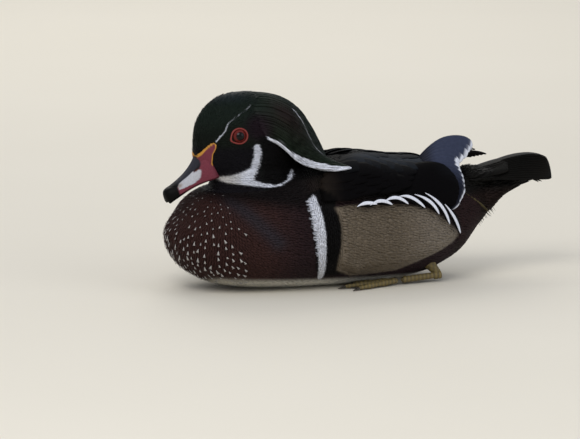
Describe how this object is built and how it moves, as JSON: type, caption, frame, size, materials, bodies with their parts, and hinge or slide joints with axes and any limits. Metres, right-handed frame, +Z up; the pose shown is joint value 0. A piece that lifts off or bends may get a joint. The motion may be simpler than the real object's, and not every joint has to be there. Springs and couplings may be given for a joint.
{
  "type": "wood duck",
  "caption": "Life-size still model of a drake wood duck resting on its belly, head drawn in, crest laid back, tertials raised over a long dark tail, maroon breast with white spots.",
  "frame": {"origin": "middle of the bottom of the bounding box, on the floor under the belly", "axes": "the duck faces -X, its left side is toward -Y, +Z up"},
  "size_m": [0.3152, 0.1268, 0.1499],
  "materials": {
    "breast_feathers": "maroon body feathers with white spots",
    "head_feathers": "glossy green and purple feathers with white lines",
    "dark_feathers": "black and dark maroon feathers",
    "flank_feathers": "buff grey feathers, finely barred, with white and black plumes",
    "wing_feathers": "glossy blue-black flight feathers with white edges",
    "tail_feathers": "black-brown tail feathers",
    "bill_horn": "smooth horn, red, white, black and yellow",
    "eye": "wet and glossy, dark red iris round a black pupil",
    "eyelid_skin": "bare red skin",
    "foot_skin": "scaly straw-yellow skin with dark webs"
  },
  "bodies": {
    "root": {"torso": "breast_feathers", "foot_left": "foot_skin", "foot_right": "foot_skin", "leg_left": "foot_skin", "leg_right": "foot_skin", "neck": "dark_feathers", "bill_upper": "bill_horn", "bill_lower": "bill_horn", "head": "head_feathers", "eye_left": "eye", "eye_right": "eye", "eyelids_left": "eyelid_skin", "eyelids_right": "eyelid_skin", "crest": "head_feathers", "flank_left": "flank_feathers", "flank_right": "flank_feathers", "wing_left": "wing_feathers", "wing_right": "wing_feathers", "tail": "tail_feathers", "undertail": "dark_feathers"}
  },
  "joints": []
}
